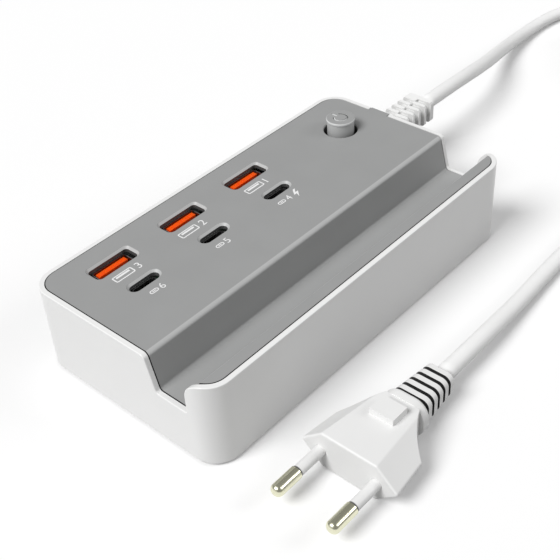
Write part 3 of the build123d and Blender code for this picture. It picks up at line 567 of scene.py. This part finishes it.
sheath, boot_cut_painted_shade, plug_white = (0.90, 0.90, 0.895), (0.72, 0.72, 0.715), (0.83, 0.83, 0.825)
rubbery = dict(roughness=0.5, drift=0.01, grain_scale=1200, grain_depth=8e-6)
soft_sheath = moulded("cord_sheath", sheath, **rubbery)[1]
scattering(soft_sheath, weight=0.6, radius=(1.0, 1.0, 1.0), scale=0.002)
boot_tree, boot = moulded("boot_sheath", sheath, **rubbery)
# Painted shade: the boot's cuts are made darker where shade falls in them.
boot_cuts = inside_box(boot_tree, low=(0.0702, 0.00905, 0.0163), high=(0.0947, 0.01975, 0.0241))
darkened(boot_tree, boot, boot_cuts, boot_cut_painted_shade)
gapped("plug_plastic", plug_white, first_x=-0.0228, pitch=0.0030, gap=0.00115)
print("soft finishes done")

# %% [markdown]
# The root of each pin wears a sleeve, so that no finger touches a live pin that is half out of its
# socket. The sleeve's end, where it steps down to the bare tip, is a dark line.

# %% Sleeve finish
sleeve_end, sleeve_fade, sleeve_dark = -0.060, 0.001, (0.1, 0.1, 0.1)
sleeve_tree, sleeve = blank("sleeve_plastic", roughness=0.4)
sleeve_x = along_axis(sleeve_tree, "X")
sleeve_along = span_of(sleeve_tree, sleeve_x, sleeve_end, sleeve_end + sleeve_fade)
sleeve_tint = ramp(sleeve_tree, sleeve_along, [(0.45, sleeve_dark), (0.75, plug_white)])
sleeve_tree.links.new(sleeve_tint, sleeve.inputs["Base Color"])
print("sleeves end at", sleeve_end)

# %% [markdown]
# ## Metal
# The pins are turned from pale brass, and the port shells are folded from dark plated sheet. Drawn
# or turned metal has fine streaks along the way it was worked, so its roughness follows a noise
# that is stretched along one axis.

# %% Metal finishes
def worked_metal(name, colour, smooth, rough, stretch):
    """Metal with streaks: roughness runs from smooth to rough along stretched noise."""
    tree, shader = blank(name, rough, metallic=1.0)
    shader.inputs["Base Color"].default_value = (*colour, 1)
    streaks = noise(tree, scale=400, detail=3, stretch=stretch)
    roughness = span_of(tree, streaks, noise_low, noise_high, to_low=smooth, to_high=rough)
    tree.links.new(roughness, shader.inputs["Roughness"])


along_x, along_z, no_way = (0.1, 1, 1), (1, 1, 0.1), (1, 1, 1)
worked_metal("pin_brass", (0.80, 0.79, 0.60), 0.16, 0.3, along_x)
worked_metal("port_shell_metal", (0.42, 0.42, 0.42), 0.2, 0.35, along_z)
worked_metal("contact_metal", (0.83, 0.62, 0.25), 0.2, 0.35, along_z)
worked_metal("bare_aluminium", (0.7, 0.7, 0.72), 0.25, 0.45, along_x)
worked_metal("capacitor_can", (0.12, 0.12, 0.14), 0.25, 0.4, along_z)
worked_metal("screw_steel", (0.6, 0.6, 0.6), 0.25, 0.45, no_way)
print("metal finishes done")

# %% [markdown]
# ## Dressing
# Every solid takes the finish that its record names. The boot is of the cord's plastic, but its
# cuts need a finish of their own.

# %% Dress the solids
for entry in frame["record"]["subparts"]:
    mesh = nodes[entry["node"]].data
    mesh.materials.clear()
    mesh.materials.append(finishes[entry["material_slot"]])
nodes["cord_boot"].data.materials[0] = finishes["boot_sheath"]
cord_mesh.materials.append(finishes["cord_sheath"])

# %% [markdown]
# ## Printed marks
# Each port is named on the deck in fine white print. Here a plain number stands beside a small
# outline of the port's mouth, and a bolt marks the strongest port. Print could be a texture, but
# then it blurs when seen close. Flat outlines, filled and a hair above the deck, stay sharp.

# %% Print
moulded("white_print", (0.86, 0.86, 0.86), roughness=0.55)
ink = 0.00003


def printed(name, flat_curve, place, height=None):
    """Fill a flat curve, make it a mesh, size it to a height, and lay it on the deck with its lower
    left corner at place."""
    flat_curve.dimensions = "2D"
    flat_curve.fill_mode = "BOTH"
    mesh = bpy.data.meshes.new_from_object(bpy.data.objects.new(name, flat_curve))
    spots = np.empty(len(mesh.vertices) * 3, np.float32)
    mesh.vertices.foreach_get("co", spots)
    spots = spots.reshape(-1, 3)
    low = spots.min(axis=0)
    size = 1.0 if height is None else height / 1000 / (spots[:, 1].max() - low[1])
    spots[:, :2] = (spots[:, :2] - low[:2]) * size + np.array(place) / 1000
    spots[:, 2] = deck_z + ink
    mesh.vertices.foreach_set("co", spots.ravel())
    mesh.update()
    mesh.materials.append(finishes["white_print"])
    show(name, mesh)


def loop(flat_curve, points):
    """One closed outline through the points, in millimetres. An outline inside another is a hole."""
    spline = flat_curve.splines.new("POLY")
    spline.points.add(len(points) - 1)
    rows = np.c_[np.array(points) / 1000, np.zeros(len(points)), np.ones(len(points))]
    spline.points.foreach_set("co", rows.ravel())
    spline.use_cyclic_u = True


def rounded(width, height, radius, middle=(0.0, 0.0), steps=8):
    """Outline of a rounded rectangle: each quarter circle sits in from its corner by the radius."""
    quarter = np.linspace(0, np.pi / 2, steps)
    turn = np.concatenate([quarter + k * np.pi / 2 for k in range(4)])
    x = np.repeat([1, -1, -1, 1], steps) * (width / 2 - radius) + radius * np.cos(turn)
    y = np.repeat([1, 1, -1, -1], steps) * (height / 2 - radius) + radius * np.sin(turn)
    return np.c_[x + middle[0], y + middle[1]]


def port_outline(name, place, width, height, radius, stroke, tongue):
    """A port's mouth seen from the front: a ring, and a bar for the tongue."""
    flat = bpy.data.curves.new(name, "CURVE")
    loop(flat, rounded(width, height, radius))
    loop(flat, rounded(width - 2 * stroke, height - 2 * stroke, max(radius - stroke, 0.05)))
    loop(flat, rounded(*tongue))
    printed(name, flat, place)


def number(name, text, place, height):
    """A plain number in the built-in face."""
    flat = bpy.data.curves.new(name, "FONT")
    flat.body = text
    printed(name, flat, place, height)


print("print lies", ink, "m above the deck")

# %% [markdown]
# The marks stand in two rows, one for each kind of port, and are laid out in millimetres. The
# columns go from left to right, and the ports are counted from the button, so the numbers fall.

# %% Marks
wide_mouth = dict(width=7.4, height=2.9, radius=0.6, stroke=0.42, tongue=(5.2, 0.75, 0.1, (0, 0.42)))
slim_mouth = dict(width=3.2, height=1.5, radius=0.74, stroke=0.34, tongue=(1.5, 0.3, 0.1))
wide_left, wide_y, wide_digit_at, wide_digit_height = (-53.4, -26.6, 3.2), 16.2, 8.7, 2.9
slim_left, slim_y, slim_digit_at, slim_digit_height = (-50.8, -23.6, 4.6), 4.35, 3.9, 2.6
slim_digit_y = 3.8
for column, (wide_x, slim_x) in enumerate(zip(wide_left, slim_left)):
    port = 3 - column
    port_outline(f"wide_mark_{port}", (wide_x, wide_y), **wide_mouth)
    number(f"wide_number_{port}", str(port), (wide_x + wide_digit_at, wide_y), wide_digit_height)
    port_outline(f"slim_mark_{port}", (slim_x, slim_y), **slim_mouth)
    slim_digit = (slim_x + slim_digit_at, slim_digit_y)
    number(f"slim_number_{port}", str(port + 3), slim_digit, slim_digit_height)
bolt_points = [(2.1, 4.1), (0.3, 1.75), (1.45, 1.75), (0.75, 0.0), (2.9, 2.5), (1.7, 2.5), (3.1, 4.1)]
bolt = bpy.data.curves.new("bolt_mark", "CURVE")
loop(bolt, bolt_points)
printed("bolt_mark", bolt, place=(11.6, 2.8))

# %% [markdown]
# ## Update
# Last, the scene is brought up to date.

# %% Update
bpy.context.view_layer.update()
